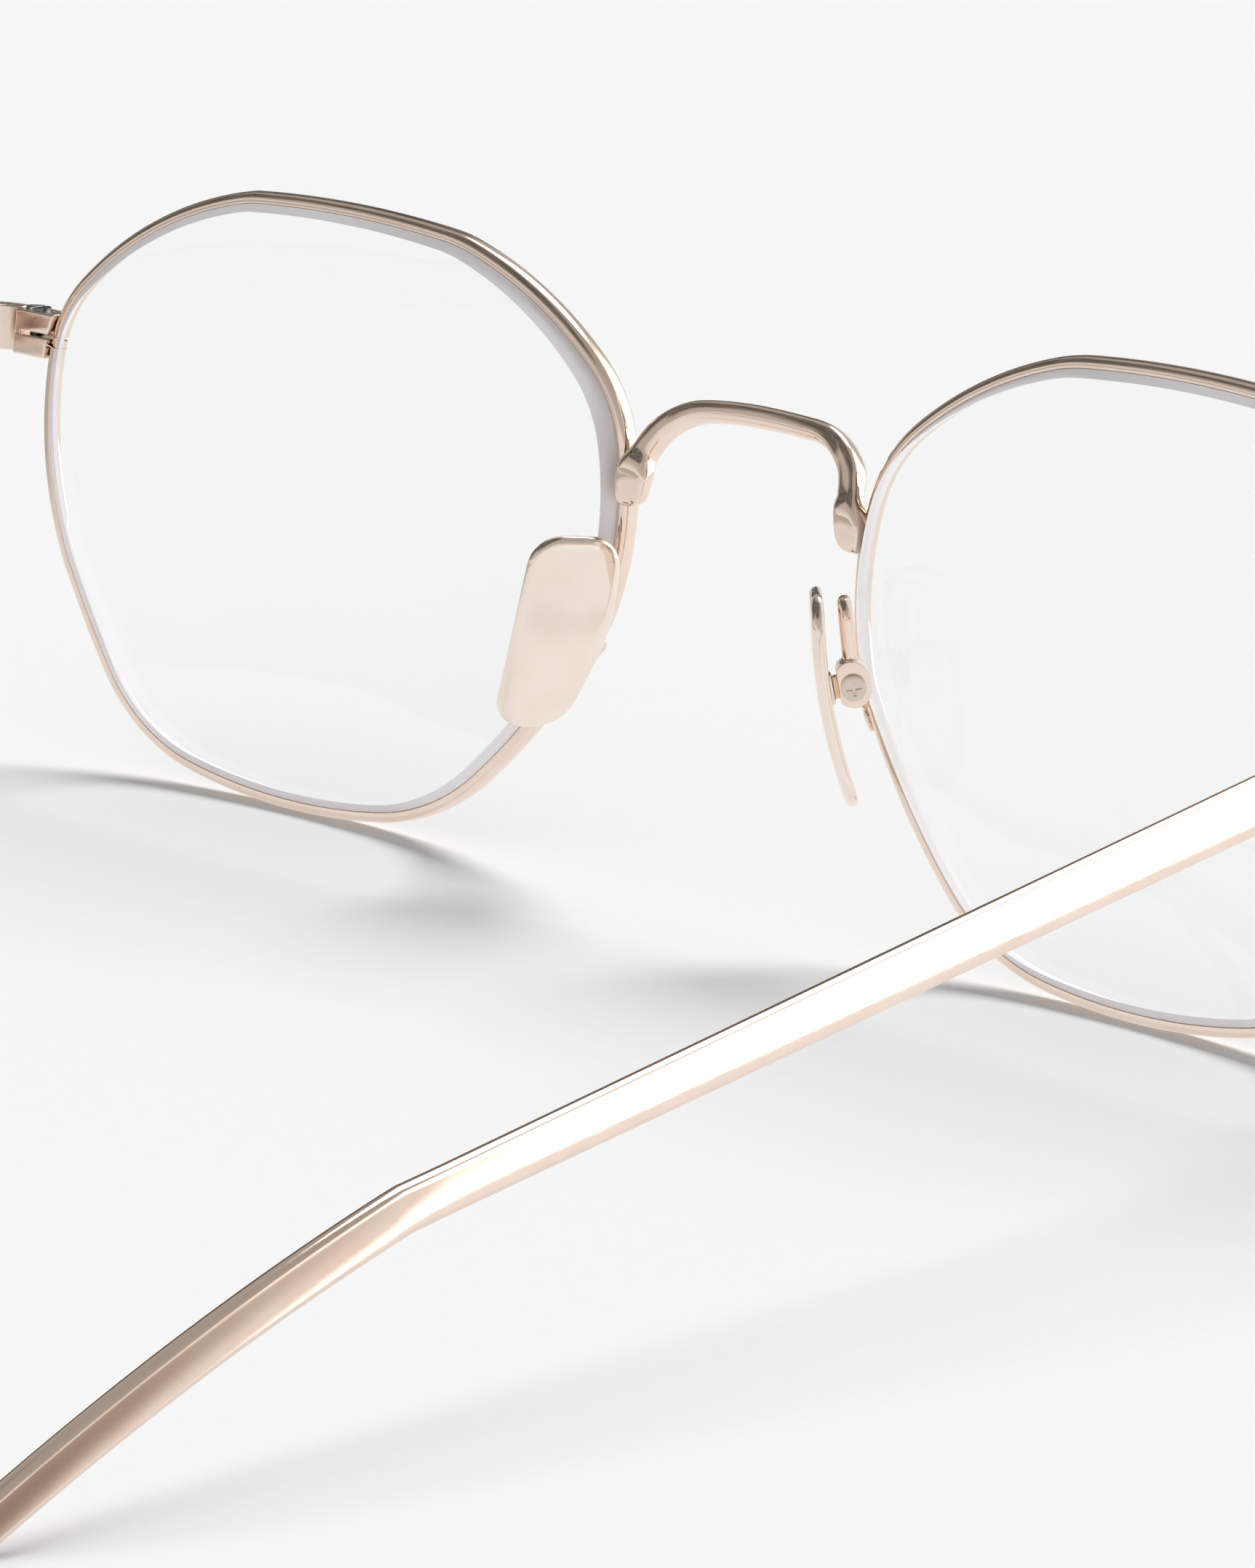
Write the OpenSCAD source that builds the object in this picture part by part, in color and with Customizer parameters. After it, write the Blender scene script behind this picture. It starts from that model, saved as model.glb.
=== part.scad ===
// Octagonal metal eyeglasses. Millimetres.
// X runs to the wearer's left, Y from the front toward the ears, Z up.
// The origin is on the table, midway between the rims, in the plane of the lens centres.
// Everything is drawn for the left side and mirrored for the right.

/* [Lens and rim] */
// Width of the lens shape over its corner points
lens_w = 48.5; // [44:0.5:53]
// Height of the lens shape over its corner points
lens_h = 41.7; // [38:0.1:46]
// Gap between the two lens shapes at the nose
nose_gap = 19.5; // [17:0.5:23]
// Angle that each rim turns back toward its temple
wrap = 2.5; // [0:0.5:5]
// Radius of the lens's curved faces
lens_radius = 150; // [120:5:200]
// Thickness of the lens
lens_t = 1.5; // [1.2:0.1:2]
// Thickness of the rim's wire, seen from the front
wire_t = 0.8; // [0.7:0.05:1]
// Depth of the rim's wire, front to back
wire_d = 1.8; // [1.6:0.1:2.4]
// Depth of the groove that holds the lens
groove_depth = 0.35; // [0.25:0.05:0.45]
// Width of the mouth of that groove
groove_w = 0.9; // [0.7:0.1:1.1]

/* [Bridge] */
// Height of the bar's middle above the lens centre
bridge_rise = 12.1; // [10:0.1:14]
// How far the bar's middle stands in front of the lens plane
bridge_forward = 2; // [1:0.1:3]
// Angle that the bridge's plane leans forward
bridge_lean = 20; // [12:1:26]
// Height of the bar
bar_h = 1.5; // [1.2:0.1:2]
// Depth of the bar
bar_d = 1.9; // [1.5:0.1:2.4]
// Width of the flattened foot
foot_w = 2.1; // [1.9:0.1:2.2]
// Thickness of the flattened foot
foot_t = 1.2; // [0.9:0.1:1.5]
// Height of the foot's lower end above the lens centre
foot_low = 5; // [4:0.1:6]

/* [Hinge and end piece] */
// Height of the hinge above the lens centre
hinge_rise = 8.2; // [7:0.1:9]
// Height of the end piece and the closing block
end_h = 3.2; // [3:0.1:4.2]
// Wall of the end piece
end_wall = 1.4; // [1.2:0.1:1.8]
// Distance of the hinge axis behind the lens plane
hinge_back = 8.5; // [8:0.1:11]
// Length of the closing block, outward from the rim
block_w = 2.7; // [2.4:0.1:3.4]
// Depth of the closing block, front to back
block_d = 2.2; // [2:0.1:2.6]
// Gap between the two halves of the closing block
block_gap = 0.3; // [0.2:0.05:0.5]
// Radius of the closing screw's shank
closing_screw_r = 0.5; // [0.4:0.05:0.6]
// Radius of the closing screw's head
closing_head_r = 0.9; // [0.7:0.05:1]
// Radius of the hinge's knuckles
knuckle_r = 1.25; // [1.1:0.05:1.4]
// Height of the middle knuckle
knuckle_h = 1.2; // [1:0.1:1.6]
// Radius of the hinge screw's shank
hinge_screw_r = 0.6; // [0.5:0.05:0.7]
// Radius of the hinge screw's head
hinge_head_r = 1; // [0.8:0.05:1.1]

/* [Temple] */
// Length of the temple from the hinge to the ear bend
bend_length = 103.5; // [95:0.5:112]
// Length of the tip behind the ear bend
tip_length = 33; // [28:0.5:42]
// Slope of the temple, downward to the rear
temple_slope = 9.4; // [7:0.1:10.5]
// Angle that the open temple turns inward
toe_in = 3; // [0:0.5:5]
// Thickness of the temple strip
temple_t = 1; // [0.8:0.1:1.4]
// Height of the strip at the hinge
temple_h = 3.4; // [3:0.1:4]
// Height of the strip at the ear bend
bend_h = 2.4; // [2:0.1:3]
// Height of the strip at its tip
tip_h = 2; // [1.6:0.1:2.4]
// Change of slope along the curved tip
tip_curl = 10; // [0:1:16]

/* [Nose pad] */
// Height of the pad
pad_h = 14.3; // [12:0.1:16]
// Width of the pad
pad_w = 6.9; // [6:0.1:8]
// Thickness of the pad
pad_t = 0.9; // [0.8:0.1:1.2]
// Radius of the pad's crowned face
pad_crown = 36; // [25:1:60]
// Angle that the pad's face turns toward the rear
pad_splay = 37; // [30:1:42]
// Angle that the pad's face turns down
pad_lean = 15; // [8:1:20]
// Distance from the middle of the glasses to the pad's screw
pad_screw_x = 12.3; // [11.5:0.1:14]
// Distance of the pad's screw behind the lens plane
pad_screw_back = 3.2; // [3:0.1:4.5]
// Height of the pad's screw below the lens centre
pad_screw_drop = 2.85; // [1.5:0.1:4]
// Distance from the pad's screw to the back of the pad
pad_reach = 1.6; // [1.6:0.1:2.2]
// Radius of the pad arm's wire
arm_r = 0.48; // [0.35:0.01:0.5]
// Height of the arm's loop above the screw
arm_loop_h = 4.5; // [3.6:0.1:5]
// Angle that the arm's loop leans away from the nose
arm_lean = 4; // [0:1:8]
// Radius of the arm's loop
arm_loop_r = 0.95; // [0.9:0.05:1.2]
// Radius of the pad box
box_r = 1.15; // [1.1:0.05:1.4]
// Height of the pad box
box_h = 3.1; // [2.9:0.1:3.6]
// Length of the pad box along the screw
box_len = 2.4; // [2.2:0.1:2.8]
// Thickness of the pad's lug
lug_t = 0.84; // [0.7:0.02:1]
// Radius of the lug's round end
lug_r = 0.75; // [0.7:0.05:0.8]
// Radius of the pad screw's shank
pad_screw_r = 0.4; // [0.3:0.05:0.45]
// Radius of the pad screw's head
pad_head_r = 0.84; // [0.7:0.02:0.9]

/* [Fits] */
// Clearance between pieces that are seated together
seat = 0.02; // [0.01:0.01:0.04]
// Radial clearance between a screw and what turns on it
running = 0.04; // [0.02:0.01:0.08]
// Side clearance between knuckles, and between lug and box
side_play = 0.04; // [0.02:0.01:0.08]

/* [Hidden] */

GOLD = [0.80, 0.68, 0.60];
PAD_GOLD = [0.86, 0.74, 0.66];
SCREW = [0.62, 0.55, 0.49];
CLEAR = [0.86, 0.90, 0.92, 0.35];

// The lens shape: eight corners as shares of the half width and half height, from the temple side
// counter-clockwise, then for the side after each corner the angle that half of its bow spans, and
// the radius that rounds each corner as a share of the half height
CORNERS = [
  [0.975, 0.49], [0.34, 0.985], [-0.38, 0.975], [-0.945, 0.56],
  [-0.955, -0.17], [-0.46, -0.925], [0.6, -0.88], [0.895, -0.345]
];
SIDE_BOWS = [20.88, 6.27, 15.67, 19.32, 11.42, 17.83, 4.47, 18.93];
CORNER_ROUNDS = [0.432, 0.336, 0.336, 0.48, 0.336, 0.671, 0.623, 0.863];
BOTTOM_SIDE = 5;
TEMPLE_SIDE = 7;
NOSE_SIDE = 4;

// The pad's outline in the same form
PAD_CORNERS = [[0.8, 0.98], [-1, 0.98], [-1.01, 0.14], [-0.38, -0.98], [0.98, -1]];
PAD_SIDE_BOWS = [5.85, 2.89, 3.99, 4.42, 3.41];
PAD_CORNER_ROUNDS = [0.333, 0.306, 1.111, 0.417, 0.306];

ARC_FN = 240;
ROUND_FN = 48;
BAR_SIDES = 20;
EDGE_STEPS = 6;
TIP_STEPS = 14;

// Small sizes that stay as they are: the slit that opens the rim, what is cut off each arc of the
// wire, and the sleeve over each joint
SLIT = 0.25;
JOINT_TRIM = 0.1;
SLEEVE_L = 0.4;
SLEEVE_GROW = 0.008;

// The wire's bevel toward the outside, and its lips beside the groove
WIRE_BEVEL = 0.22;
WIRE_LIP = 0.12;

// Width of the lens's stepped edge
TONGUE_W = 0.8;

// How far the closing block laps over the rim, and the screw's place from the block's middle
BLOCK_LAP = 1.2;
CLOSING_SHIFT = 0.1;

// Outer radius of the end piece's corner, and the air beside the knuckles
TURN_R = 3.3;
KNUCKLE_AIR = 0.1;

// Webs that join the knuckles to the end piece and to the temple, along the hinge's sides
FRONT_WEB = [1.2, 3.4];
REAR_WEB = [0.6, 2.2];

// Heads: heights, how deep the closing screw's is let in, and the slots in them
HEAD_H = 0.5;
HEAD_SUNK = 0.3;
HINGE_HEAD_H = 0.35;
SLOT_W = 0.24;
SLOT_DEPTH = 0.2;
PAD_HEAD_H = 0.43;
CROSS_W = 0.2;
SCREW_SHORT = 0.1;

// The lug's foot on the pad, and the place of the pad and of the box from the screw
LUG_FOOT = [1.6, 2, 0.3];
PAD_MID = -0.65;
PAD_SHIFT = -0.15;
BOX_FRONT = 0.95;
BOX_MID = 0.15;
BOX_AIR = 0.25;

// The pad arm: where it is brazed along the rim's nose side, its place in the rim's depth, where
// its upright starts, and how much its joints are wider than the wire
ARM_SHARES = [0.17, 0.05];
ARM_BACK = 0.2;
ARM_LOW = -1.2;
ARM_JOINT = 0.02;

// The bridge's bar: radius of its bends, of its middle, and the place of the bends' centres
BEND_R = 4.6;
BOW_R = 90;
BEND_X = 4.3;

// One outline is a list of arcs, each [centre, radius, start angle, sweep]
function heading(v) = atan2(v.y, v.x);
function side_centre(a, b, r) =
  let (h = norm(b - a) / 2, n = [a.y - b.y, b.x - a.x] / (2 * h))
  (a + b) / 2 + n * sqrt(r * r - h * h);
function meet(c0, r0, c1, r1, near) =
  let (
    d = norm(c1 - c0),
    e = (c1 - c0) / d,
    x = (d * d + r0 * r0 - r1 * r1) / (2 * d),
    y = sqrt(r0 * r0 - x * x),
    p = c0 + e * x + [-e.y, e.x] * y,
    q = c0 + e * x - [-e.y, e.x] * y
  )
  norm(p - near) < norm(q - near) ? p : q;
function turn(a, b) = let (d = b - a) d < 0 ? d + 360 : d;
function outline_arcs(corners, side_bow, corner_r) =
  let (
    n = len(corners),
    side_r = [for (i = [0 : n - 1])
      norm(corners[(i + 1) % n] - corners[i]) / 2 / sin(side_bow[i])],
    s = [for (i = [0 : n - 1]) side_centre(corners[i], corners[(i + 1) % n], side_r[i])],
    f = [for (i = [0 : n - 1])
      let (j = (i + n - 1) % n)
      meet(s[j], side_r[j] - corner_r[i], s[i], side_r[i] - corner_r[i], corners[i])]
  )
  [for (i = [0 : n - 1], part = [0, 1])
    let (
      k = (i + 1) % n,
      j = (i + n - 1) % n,
      a0 = part == 0 ? heading(f[i] - s[j]) : heading(f[i] - s[i]),
      a1 = part == 0 ? heading(f[i] - s[i]) : heading(f[k] - s[i])
    )
    [part == 0 ? f[i] : s[i], part == 0 ? corner_r[i] : side_r[i], a0, turn(a0, a1)]];
function arc_point(arc, share, off) =
  let (a = arc[2] + share * arc[3]) arc[0] + (arc[1] + off) * [cos(a), sin(a)];
function outline_points(arcs, off, steps) =
  [for (arc = arcs, i = [0 : steps - 1]) arc_point(arc, i / steps, off)];

lens_corners = [for (c = CORNERS) [c.x * lens_w / 2, c.y * lens_h / 2]];
lens_arcs = outline_arcs(lens_corners, SIDE_BOWS, CORNER_ROUNDS * lens_h / 2);
pad_corners = [for (c = PAD_CORNERS) [c.x * pad_w / 2, c.y * pad_h / 2]];
pad_arcs = outline_arcs(pad_corners, PAD_SIDE_BOWS, PAD_CORNER_ROUNDS * pad_h / 2);

// Places that several pieces share
wire_in = -groove_depth;
wire_out = wire_t - groove_depth;
bottom_arc = lens_arcs[2 * BOTTOM_SIDE + 1];
eye_x = (lens_w + nose_gap) / 2;
eye_z = bottom_arc[1] + wire_out - bottom_arc[0].y;
temple_arc = lens_arcs[2 * TEMPLE_SIDE + 1];
temple_edge = temple_arc[0].x + temple_arc[1] + wire_out;
hinge_z = eye_z + hinge_rise;
block_start = temple_edge - BLOCK_LAP;
block_end = temple_edge + block_w;
closing_x = temple_edge + block_w / 2 + CLOSING_SHIFT;
end_x = eye_x + block_end * cos(wrap);
end_front = block_end * sin(wrap) - block_d / 2;
strip_in = knuckle_r + KNUCKLE_AIR;
lug_out = end_x + TURN_R;
hinge_x = lug_out - strip_in - temple_t;
lug_rear = hinge_back - knuckle_r - KNUCKLE_AIR;
lens_bulge = (lens_w * lens_w + lens_h * lens_h) / 16 / lens_radius;

// A point given in a rim's plane, as a point of the glasses
function from_eye(u, v, back) =
  [eye_x + u * cos(wrap) - back * sin(wrap), u * sin(wrap) + back * cos(wrap), eye_z + v];

module side(s) {
  if (s > 0) children();
  else mirror([1, 0, 0]) children();
}

// The rim's plane: drawn flat, it stands upright with its drawn top side to the front
module in_eye() {
  translate([eye_x, 0, eye_z]) rotate([0, 0, wrap]) rotate([90, 0, 0]) children();
}

module ball(r) {
  rotate([90, 0, 0]) sphere(r = r, $fn = ARC_FN);
}

module sweep_arc(arc, cut) {
  trim = cut / arc[1] * 180 / PI;
  translate(arc[0]) rotate([0, 0, arc[2] + trim])
    rotate_extrude(angle = arc[3] - 2 * trim, $fn = ARC_FN) translate([arc[1], 0]) children();
}

// What lies within a distance of the lens shape, on the temple side only
module temple_ring(from, to, depth) {
  for (i = [0, 1, 2 * TEMPLE_SIDE + 1])
    sweep_arc(lens_arcs[i], 0) translate([from, -depth / 2]) square([to - from, depth]);
}

module wire_profile(grow) {
  edge = WIRE_BEVEL;
  lip = WIRE_LIP;
  half = wire_d / 2 + grow;
  in = wire_in - grow;
  out = wire_out + grow;
  polygon([
    [in, groove_w / 2], [in, half - lip], [in + lip, half],
    [out - edge, half], [out - edge * 0.3, half - edge * 0.3], [out, half - edge],
    [out, edge - half], [out - edge * 0.3, edge * 0.3 - half], [out - edge, -half],
    [in + lip, -half], [in, lip - half], [in, -groove_w / 2],
    [-1.5 * grow, 0]
  ]);
}

// The wire is sixteen arcs, with a short sleeve over each joint that makes them one piece
module wire() {
  for (arc = lens_arcs) {
    sweep_arc(arc, JOINT_TRIM) wire_profile(0);
    translate(arc_point(arc, 0, 0)) rotate([90, 0, arc[2]])
      linear_extrude(height = SLEEVE_L, center = true) wire_profile(SLEEVE_GROW);
  }
}

module rim(s) {
  color(GOLD) side(s) in_eye() difference() {
    wire();
    translate([temple_edge - 3, hinge_rise - SLIT / 2, -wire_d])
      cube([6, SLIT, 2 * wire_d]);
  }
}

// The lens: two curved faces cut to the lens shape, with an edge that steps out into the groove
module lens(s) {
  body = wire_in - seat;
  color(CLEAR) side(s) in_eye() {
    intersection() {
      linear_extrude(height = 8, center = true) polygon(outline_points(lens_arcs, body, EDGE_STEPS));
      difference() {
        translate([0, 0, lens_bulge + lens_t / 2 - lens_radius]) ball(lens_radius);
        translate([0, 0, lens_bulge - lens_t / 2 - lens_radius]) ball(lens_radius);
      }
    }
    for (share = [0.3, 0.7])
      linear_extrude(height = groove_w * share - 2 * seat, center = true) difference() {
        polygon(outline_points(lens_arcs, -groove_depth * share - seat, EDGE_STEPS));
        polygon(outline_points(lens_arcs, body - TONGUE_W, EDGE_STEPS));
      }
  }
}

module block_half(low, high) {
  difference() {
    translate([block_start, low, -block_d / 2]) cube([block_end - block_start, high - low, block_d]);
    temple_ring(wire_in - 4, wire_out + seat, 2 * block_d);
  }
}

module upright_bore(r, x, low, high) {
  translate([x, low, 0]) rotate([-90, 0, 0]) cylinder(h = high - low, r = r, $fn = ROUND_FN);
}

module closing_block_upper(s) {
  low = hinge_rise + block_gap / 2;
  high = hinge_rise + end_h / 2;
  color(GOLD) side(s) in_eye() difference() {
    block_half(low, high);
    upright_bore(closing_screw_r + running, closing_x, low - 1, high + 1);
    upright_bore(closing_head_r + seat, closing_x, high - HEAD_SUNK, high + 1);
  }
}

module closing_block_lower(s) {
  low = hinge_rise - end_h / 2;
  high = hinge_rise - block_gap / 2;
  color(GOLD) side(s) in_eye() difference() {
    block_half(low, high);
    upright_bore(closing_screw_r + seat, closing_x, low - 1, high + 1);
  }
}

module closing_screw(s) {
  top = hinge_rise + end_h / 2 - HEAD_SUNK + HEAD_H;
  color(SCREW) side(s) in_eye() difference() {
    union() {
      upright_bore(closing_screw_r, closing_x, hinge_rise - end_h / 2 + SCREW_SHORT, top - HEAD_H / 2);
      upright_bore(closing_head_r, closing_x, top - HEAD_H, top);
    }
    translate([closing_x - SLOT_W / 2, top - SLOT_DEPTH, -1]) cube([SLOT_W, 1, 2]);
  }
}

// A round corner from the block outward and back, then a straight stretch to the hinge
module end_piece(s) {
  turn_x = lug_out - TURN_R;
  turn_y = end_front + TURN_R;
  color(GOLD) side(s) translate([0, 0, hinge_z]) difference() {
    union() {
      translate([turn_x, turn_y, 0]) rotate([0, 0, -90])
        rotate_extrude(angle = 90, $fn = ARC_FN)
          translate([TURN_R - end_wall, -end_h / 2]) square([end_wall, end_h]);
      translate([lug_out - end_wall, turn_y, -end_h / 2])
        cube([end_wall, lug_rear - turn_y, end_h]);
    }
    translate([eye_x, 0, 0]) rotate([0, 0, wrap])
      translate([block_start, -block_d, -end_h])
        cube([block_end + seat - block_start, 2 * block_d, 2 * end_h]);
  }
}

module knuckle(low, high, bore) {
  difference() {
    union() {
      translate([0, 0, low]) cylinder(h = high - low, r = knuckle_r, $fn = ROUND_FN);
      children();
    }
    translate([0, 0, low - 1]) cylinder(h = high - low + 2, r = bore, $fn = ROUND_FN);
  }
}

module at_hinge() {
  translate([hinge_x, hinge_back, hinge_z]) children();
}

module front_knuckles(s) {
  web_x = lug_out - end_wall - seat - hinge_x;
  for (half = [-1, 1]) {
    low = half > 0 ? knuckle_h / 2 + side_play : -end_h / 2;
    high = half > 0 ? end_h / 2 : -knuckle_h / 2 - side_play;
    color(GOLD) side(s) at_hinge() knuckle(low, high, hinge_screw_r + seat)
      translate([web_x - FRONT_WEB.x, -FRONT_WEB.y, low])
        cube([FRONT_WEB.x, FRONT_WEB.y + end_wall / 4, high - low]);
  }
}

module hinge_screw(s) {
  low = -end_h / 2 + SCREW_SHORT;
  top = end_h / 2 + seat;
  color(SCREW) side(s) at_hinge() difference() {
    union() {
      translate([0, 0, low]) cylinder(h = top - low, r = hinge_screw_r, $fn = ROUND_FN);
      translate([0, 0, top]) cylinder(h = HINGE_HEAD_H, r = hinge_head_r, $fn = ROUND_FN);
    }
    translate([-2, -SLOT_W / 2, top + HINGE_HEAD_H - SLOT_DEPTH]) cube([4, SLOT_W, 1]);
  }
}

// The temple's middle line in its own plane: along the strip from the hinge, and height
bend_z = hinge_z - bend_length * sin(temple_slope);
bend_y = bend_length * cos(temple_slope);
tip_chord = asin((bend_z - tip_h / 2) / tip_length);
tip_r = tip_length / 2 / sin(tip_curl / 2 + 0.001);
function tip_point(i) =
  let (
    a = tip_chord - tip_curl / 2 + tip_curl * i / TIP_STEPS,
    a0 = tip_chord - tip_curl / 2
  )
  [bend_y + tip_r * (sin(a) - sin(a0)), bend_z + tip_r * (cos(a) - cos(a0))];
function tip_slope(i) = tip_chord - tip_curl / 2 + tip_curl * i / TIP_STEPS;
function tip_height(i) = bend_h + (tip_h - bend_h) * i / TIP_STEPS;
function offset_point(p, slope, d) = p + d * [sin(slope), cos(slope)];
temple_front = [-knuckle_r, hinge_z + knuckle_r * tan(temple_slope)];
temple_points = concat(
  [temple_front + [0, temple_h / 2]],
  [offset_point([bend_y, bend_z], (temple_slope + tip_slope(0)) / 2, bend_h / 2)],
  [for (i = [1 : TIP_STEPS]) offset_point(tip_point(i), tip_slope(i), tip_height(i) / 2)],
  [for (a = [10 : 10 : 170])
    offset_point(tip_point(TIP_STEPS), tip_slope(TIP_STEPS) + a, tip_h / 2)],
  [for (i = [TIP_STEPS : -1 : 1]) offset_point(tip_point(i), tip_slope(i), -tip_height(i) / 2)],
  [offset_point([bend_y, bend_z], (temple_slope + tip_slope(0)) / 2, -bend_h / 2)],
  [temple_front - [0, temple_h / 2]]
);

module in_temple() {
  translate([hinge_x, hinge_back, 0]) rotate([0, 0, toe_in]) children();
}

module temple(s) {
  color(GOLD) side(s) in_temple()
    translate([strip_in, 0, 0]) rotate([90, 0, 90])
      linear_extrude(height = temple_t) polygon(temple_points);
}

module temple_knuckle(s) {
  half = knuckle_h / 2;
  color(GOLD) side(s) in_temple() translate([0, 0, hinge_z])
    knuckle(-half, half, hinge_screw_r + running)
      translate([0, -REAR_WEB.x, -half]) cube([strip_in - seat, REAR_WEB.x + REAR_WEB.y, knuckle_h]);
}

// The pad's own axes: X along its screw toward the rear, Y up the pad, Z away from the nose
module at_pad() {
  translate([pad_screw_x, pad_screw_back, eye_z - pad_screw_drop])
    rotate([90 - pad_lean, 0, 90 - pad_splay]) children();
}
function from_pad(p) =
  let (
    a = 90 - pad_lean,
    c = 90 - pad_splay,
    q = [p.x, p.y * cos(a) - p.z * sin(a), p.y * sin(a) + p.z * cos(a)]
  )
  [
    pad_screw_x + q.x * cos(c) - q.y * sin(c),
    pad_screw_back + q.x * sin(c) + q.y * cos(c),
    eye_z - pad_screw_drop + q.z
  ];

module nose_pad(s) {
  color(PAD_GOLD) side(s) at_pad() translate([PAD_SHIFT, PAD_MID, -pad_reach - pad_t])
    intersection() {
      linear_extrude(height = 4) polygon(outline_points(pad_arcs, 0, EDGE_STEPS));
      difference() {
        translate([0, 0, pad_crown]) ball(pad_crown);
        translate([0, 0, pad_crown]) ball(pad_crown - pad_t);
      }
    }
}

module along_screw(r, from, to) {
  translate([from, 0, 0]) rotate([0, 90, 0]) cylinder(h = to - from, r = r, $fn = ROUND_FN);
}

module pad_lug(s) {
  color(PAD_GOLD) side(s) at_pad() difference() {
    intersection() {
      union() {
        along_screw(lug_r, -lug_t / 2, lug_t / 2);
        translate([-lug_t / 2, -lug_r, -pad_reach - pad_t])
          cube([lug_t, 2 * lug_r, pad_reach + pad_t]);
        translate([-LUG_FOOT.x / 2, -LUG_FOOT.y / 2, -pad_reach - pad_t])
          cube([LUG_FOOT.x, LUG_FOOT.y, pad_t + LUG_FOOT.z]);
      }
      translate([PAD_SHIFT, PAD_MID, pad_crown - pad_reach - pad_t])
        ball(pad_crown - pad_t - seat);
    }
    along_screw(pad_screw_r + running, -lug_t, lug_t);
  }
}

box_round = box_h / 2 - box_r;
module box_outline(grow) {
  r = box_r + grow;
  for (y = [-box_round, box_round])
    translate([0, BOX_MID + y, 0]) along_screw(r, -box_len / 2 - grow, box_len / 2 + grow);
  translate([-box_len / 2 - grow, BOX_MID - box_round, -r])
    cube([box_len + 2 * grow, 2 * box_round, 2 * r]);
}

module pad_box(s) {
  slot = lug_t / 2 + side_play;
  room = lug_r + BOX_AIR;
  color(GOLD) side(s) at_pad() difference() {
    box_outline(0);
    translate([-box_len, -5, -10 - BOX_FRONT]) cube([2 * box_len, 10, 10]);
    translate([-slot, -room, -5]) cube([2 * slot, 2 * room, 5]);
    along_screw(room, -slot, slot);
    along_screw(pad_screw_r + seat, -box_len, box_len);
  }
}

module pad_screw(s) {
  seat_at = box_len / 2;
  color(SCREW) side(s) at_pad() difference() {
    union() {
      along_screw(pad_screw_r, -seat_at, seat_at + seat);
      along_screw(pad_head_r, seat_at + seat, seat_at + seat + PAD_HEAD_H);
    }
    for (a = [0, 90]) rotate([a, 0, 0])
      translate([seat_at + seat + PAD_HEAD_H - SLOT_DEPTH, -CROSS_W / 2, -pad_head_r * 0.6])
        cube([1, CROSS_W, pad_head_r * 1.2]);
  }
}

module rod(p, q) {
  d = q - p;
  translate(p) rotate([0, acos(d.z / norm(d)), atan2(d.y, d.x)])
    cylinder(h = norm(d), r = arm_r, $fn = ROUND_FN);
}

// The arm: up beside the rim, over a loop and down into the box
foot_off = wire_out + arm_r + seat;
nose_arc = lens_arcs[2 * NOSE_SIDE + 1];
function arm_foot(share) =
  let (p = arc_point(nose_arc, share, foot_off)) from_eye(p.x, p.y, ARM_BACK);
arm_out = -2 * arm_loop_r;
arm_path = [
  arm_foot(ARM_SHARES[0]), arm_foot(ARM_SHARES[1]),
  from_pad([arm_out, ARM_LOW * cos(arm_lean), ARM_LOW * sin(arm_lean)])
];

module pad_arm(s) {
  color(GOLD) side(s) {
    for (i = [0 : 1]) rod(arm_path[i], arm_path[i + 1]);
    for (p = arm_path) translate(p) sphere(r = arm_r + ARM_JOINT, $fn = ROUND_FN);
    at_pad() {
      rotate([arm_lean, 0, 0]) {
        translate([arm_out, ARM_LOW, 0]) rotate([-90, 0, 0])
          cylinder(h = arm_loop_h - ARM_LOW, r = arm_r, $fn = ROUND_FN);
        translate([-arm_loop_r, arm_loop_h, 0])
          rotate_extrude(angle = 180, $fn = ROUND_FN)
            translate([arm_loop_r, 0]) circle(r = arm_r, $fn = ROUND_FN);
      }
      difference() {
        rotate([arm_lean - 90, 0, 0]) cylinder(h = arm_loop_h, r = arm_r, $fn = ROUND_FN);
        translate([-box_len, -5, -5]) cube([2 * box_len, 5 + BOX_MID, 10]);
        box_outline(seat);
      }
    }
  }
}

// The bridge: an arched bar in a plane that leans forward, with two flat feet brazed to the rims
bow_a = asin(BEND_X / (BOW_R - BEND_R));
bend_drop = BOW_R - (BOW_R - BEND_R) * cos(bow_a);
leg_x = BEND_X + BEND_R;
foot_y = -(lens_w / 2 + wire_out) * sin(wrap) + wire_d / 2 + seat;
foot_z = eye_z + foot_low;
leg_z = eye_z + bridge_rise - bend_drop * cos(bridge_lean);
leg_y = -bridge_forward + bend_drop * sin(bridge_lean);

module bar_profile() {
  polygon([for (i = [0 : BAR_SIDES - 1])
    let (a = 360 * (i + 0.5) / BAR_SIDES) [bar_h / 2 * cos(a), bar_d / 2 * sin(a)]]);
}

module bar_arc(centre, r, from, sweep) {
  translate(centre) rotate([0, 0, from])
    rotate_extrude(angle = sweep, $fn = ARC_FN) translate([r, 0]) bar_profile();
}

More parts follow.
